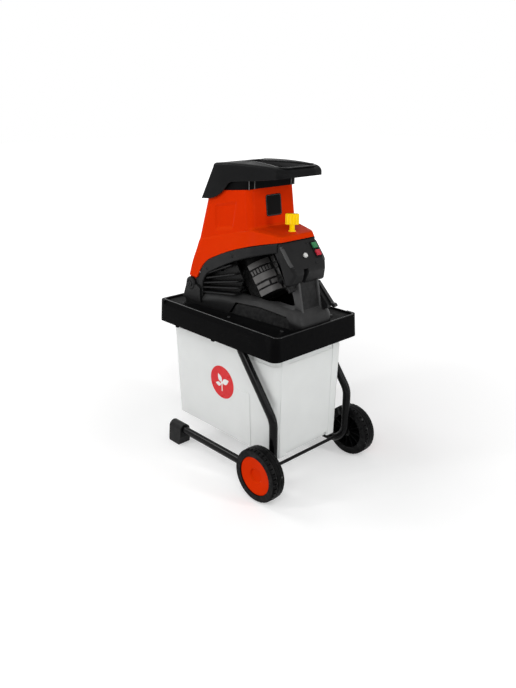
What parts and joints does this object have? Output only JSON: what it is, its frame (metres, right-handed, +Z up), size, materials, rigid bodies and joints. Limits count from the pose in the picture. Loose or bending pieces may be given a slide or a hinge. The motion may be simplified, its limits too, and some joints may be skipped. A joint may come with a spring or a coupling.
{
  "type": "garden shredder",
  "caption": "Electric garden shredder: tilting orange feed hopper with a black hood over a blade disc and a slanted motor, on a wheeled tube cart with a slide-out collection box.",
  "frame": {"origin": "on the floor under the middle of the machine's outline", "axes": "+Z up; +X towards the wheels and the switch; +Y to the left of someone who looks along +X"},
  "size_m": [0.594, 0.456, 0.9358],
  "materials": {
    "tube_black": "gloss",
    "black_plastic": "fine grained moulding",
    "wheel_black": "satin moulding",
    "hood_black": "fine grained moulding",
    "orange": "semi-gloss moulding",
    "box_white": "slightly translucent moulding",
    "sticker_red": "printed film",
    "label_black": "printed film",
    "yellow": "semi-gloss moulding",
    "green": "semi-gloss moulding",
    "red": "semi-gloss moulding",
    "white": "semi-gloss moulding",
    "motor_grey": "glass-filled moulding",
    "axle_black": "satin",
    "screw_steel": "zinc plated",
    "blade_steel": "ground",
    "machined_steel": "turned",
    "lamination": "varnished sheet stack",
    "copper": "turned copper",
    "carbon": "carbon block"
  },
  "bodies": {
    "base": {"frame_tube_near": "tube_black", "frame_tube_far": "tube_black", "foot_near": "black_plastic", "foot_far": "black_plastic", "axle": "axle_black", "axle_washers": "axle_black", "axle_caps": "axle_black", "tray": "black_plastic", "tray_screws": "screw_steel", "lower_housing": "black_plastic", "housing_screws": "screw_steel", "hinge_screws": "screw_steel", "control_box": "black_plastic", "panel_screws": "screw_steel", "switch_block": "black_plastic", "overload_breaker": "black_plastic", "power_inlet": "black_plastic", "cord_hook": "black_plastic", "interlock_switch": "black_plastic", "lock_nut": "screw_steel", "motor_housing": "motor_grey", "stator": "lamination", "brushes": "carbon", "bearing_upper": "machined_steel", "bearing_lower": "machined_steel"},
    "wheel_near": {"wheel_near": "wheel_black", "hub_cap_near": "orange"},
    "wheel_far": {"wheel_far": "wheel_black", "hub_cap_far": "orange"},
    "box": {"collection_box": "box_white", "sticker": "sticker_red"},
    "hopper": {"hopper": "orange", "hood": "hood_black", "label_plate": "label_black", "counter_blade": "blade_steel"},
    "knob": {"lock_knob": "yellow", "lock_stud": "screw_steel"},
    "rotor": {"blade_disc": "machined_steel", "blades": "blade_steel", "blade_screws": "screw_steel", "disc_bolt": "screw_steel", "motor_shaft": "machined_steel", "armature": "lamination", "commutator": "copper", "cooling_fan": "black_plastic"},
    "start_button": {"start_button": "green"},
    "stop_button": {"stop_button": "red"},
    "reset_button": {"reset_button": "white"}
  },
  "joints": [
    {"name": "hopper_tilt", "type": "hinge", "parent": "base", "child": "hopper", "pos_m": [-0.196, 0, 0.554], "axis": [0, -1, 0], "range_deg": [0, 80]},
    {"name": "lock_turn", "type": "hinge", "parent": "hopper", "child": "knob", "pos_m": [0.129, 0, 0.75], "axis": [0, 0, 1], "continuous": true},
    {"name": "rotor_spin", "type": "hinge", "parent": "base", "child": "rotor", "pos_m": [-0.045, 0, 0.672], "axis": [-0.6018, 0, 0.7986], "continuous": true},
    {"name": "wheel_near_roll", "type": "hinge", "parent": "base", "child": "wheel_near", "pos_m": [0.2145, -0.2, 0.0825], "axis": [0, 1, 0], "continuous": true},
    {"name": "wheel_far_roll", "type": "hinge", "parent": "base", "child": "wheel_far", "pos_m": [0.2145, 0.2, 0.0825], "axis": [0, 1, 0], "continuous": true},
    {"name": "box_slide", "type": "slide", "parent": "base", "child": "box", "axis": [-1, 0, 0], "range_m": [0, 0.52]},
    {"name": "start_press", "type": "slide", "parent": "base", "child": "start_button", "axis": [-0.7796, 0, -0.6263], "range_m": [0, 0.004], "stiffness_N_per_m": 300},
    {"name": "stop_press", "type": "slide", "parent": "base", "child": "stop_button", "axis": [-0.7796, 0, -0.6263], "range_m": [0, 0.004], "stiffness_N_per_m": 300},
    {"name": "reset_press", "type": "slide", "parent": "base", "child": "reset_button", "axis": [-0.7796, 0, -0.6263], "range_m": [0, 0.003], "stiffness_N_per_m": 300}
  ]
}
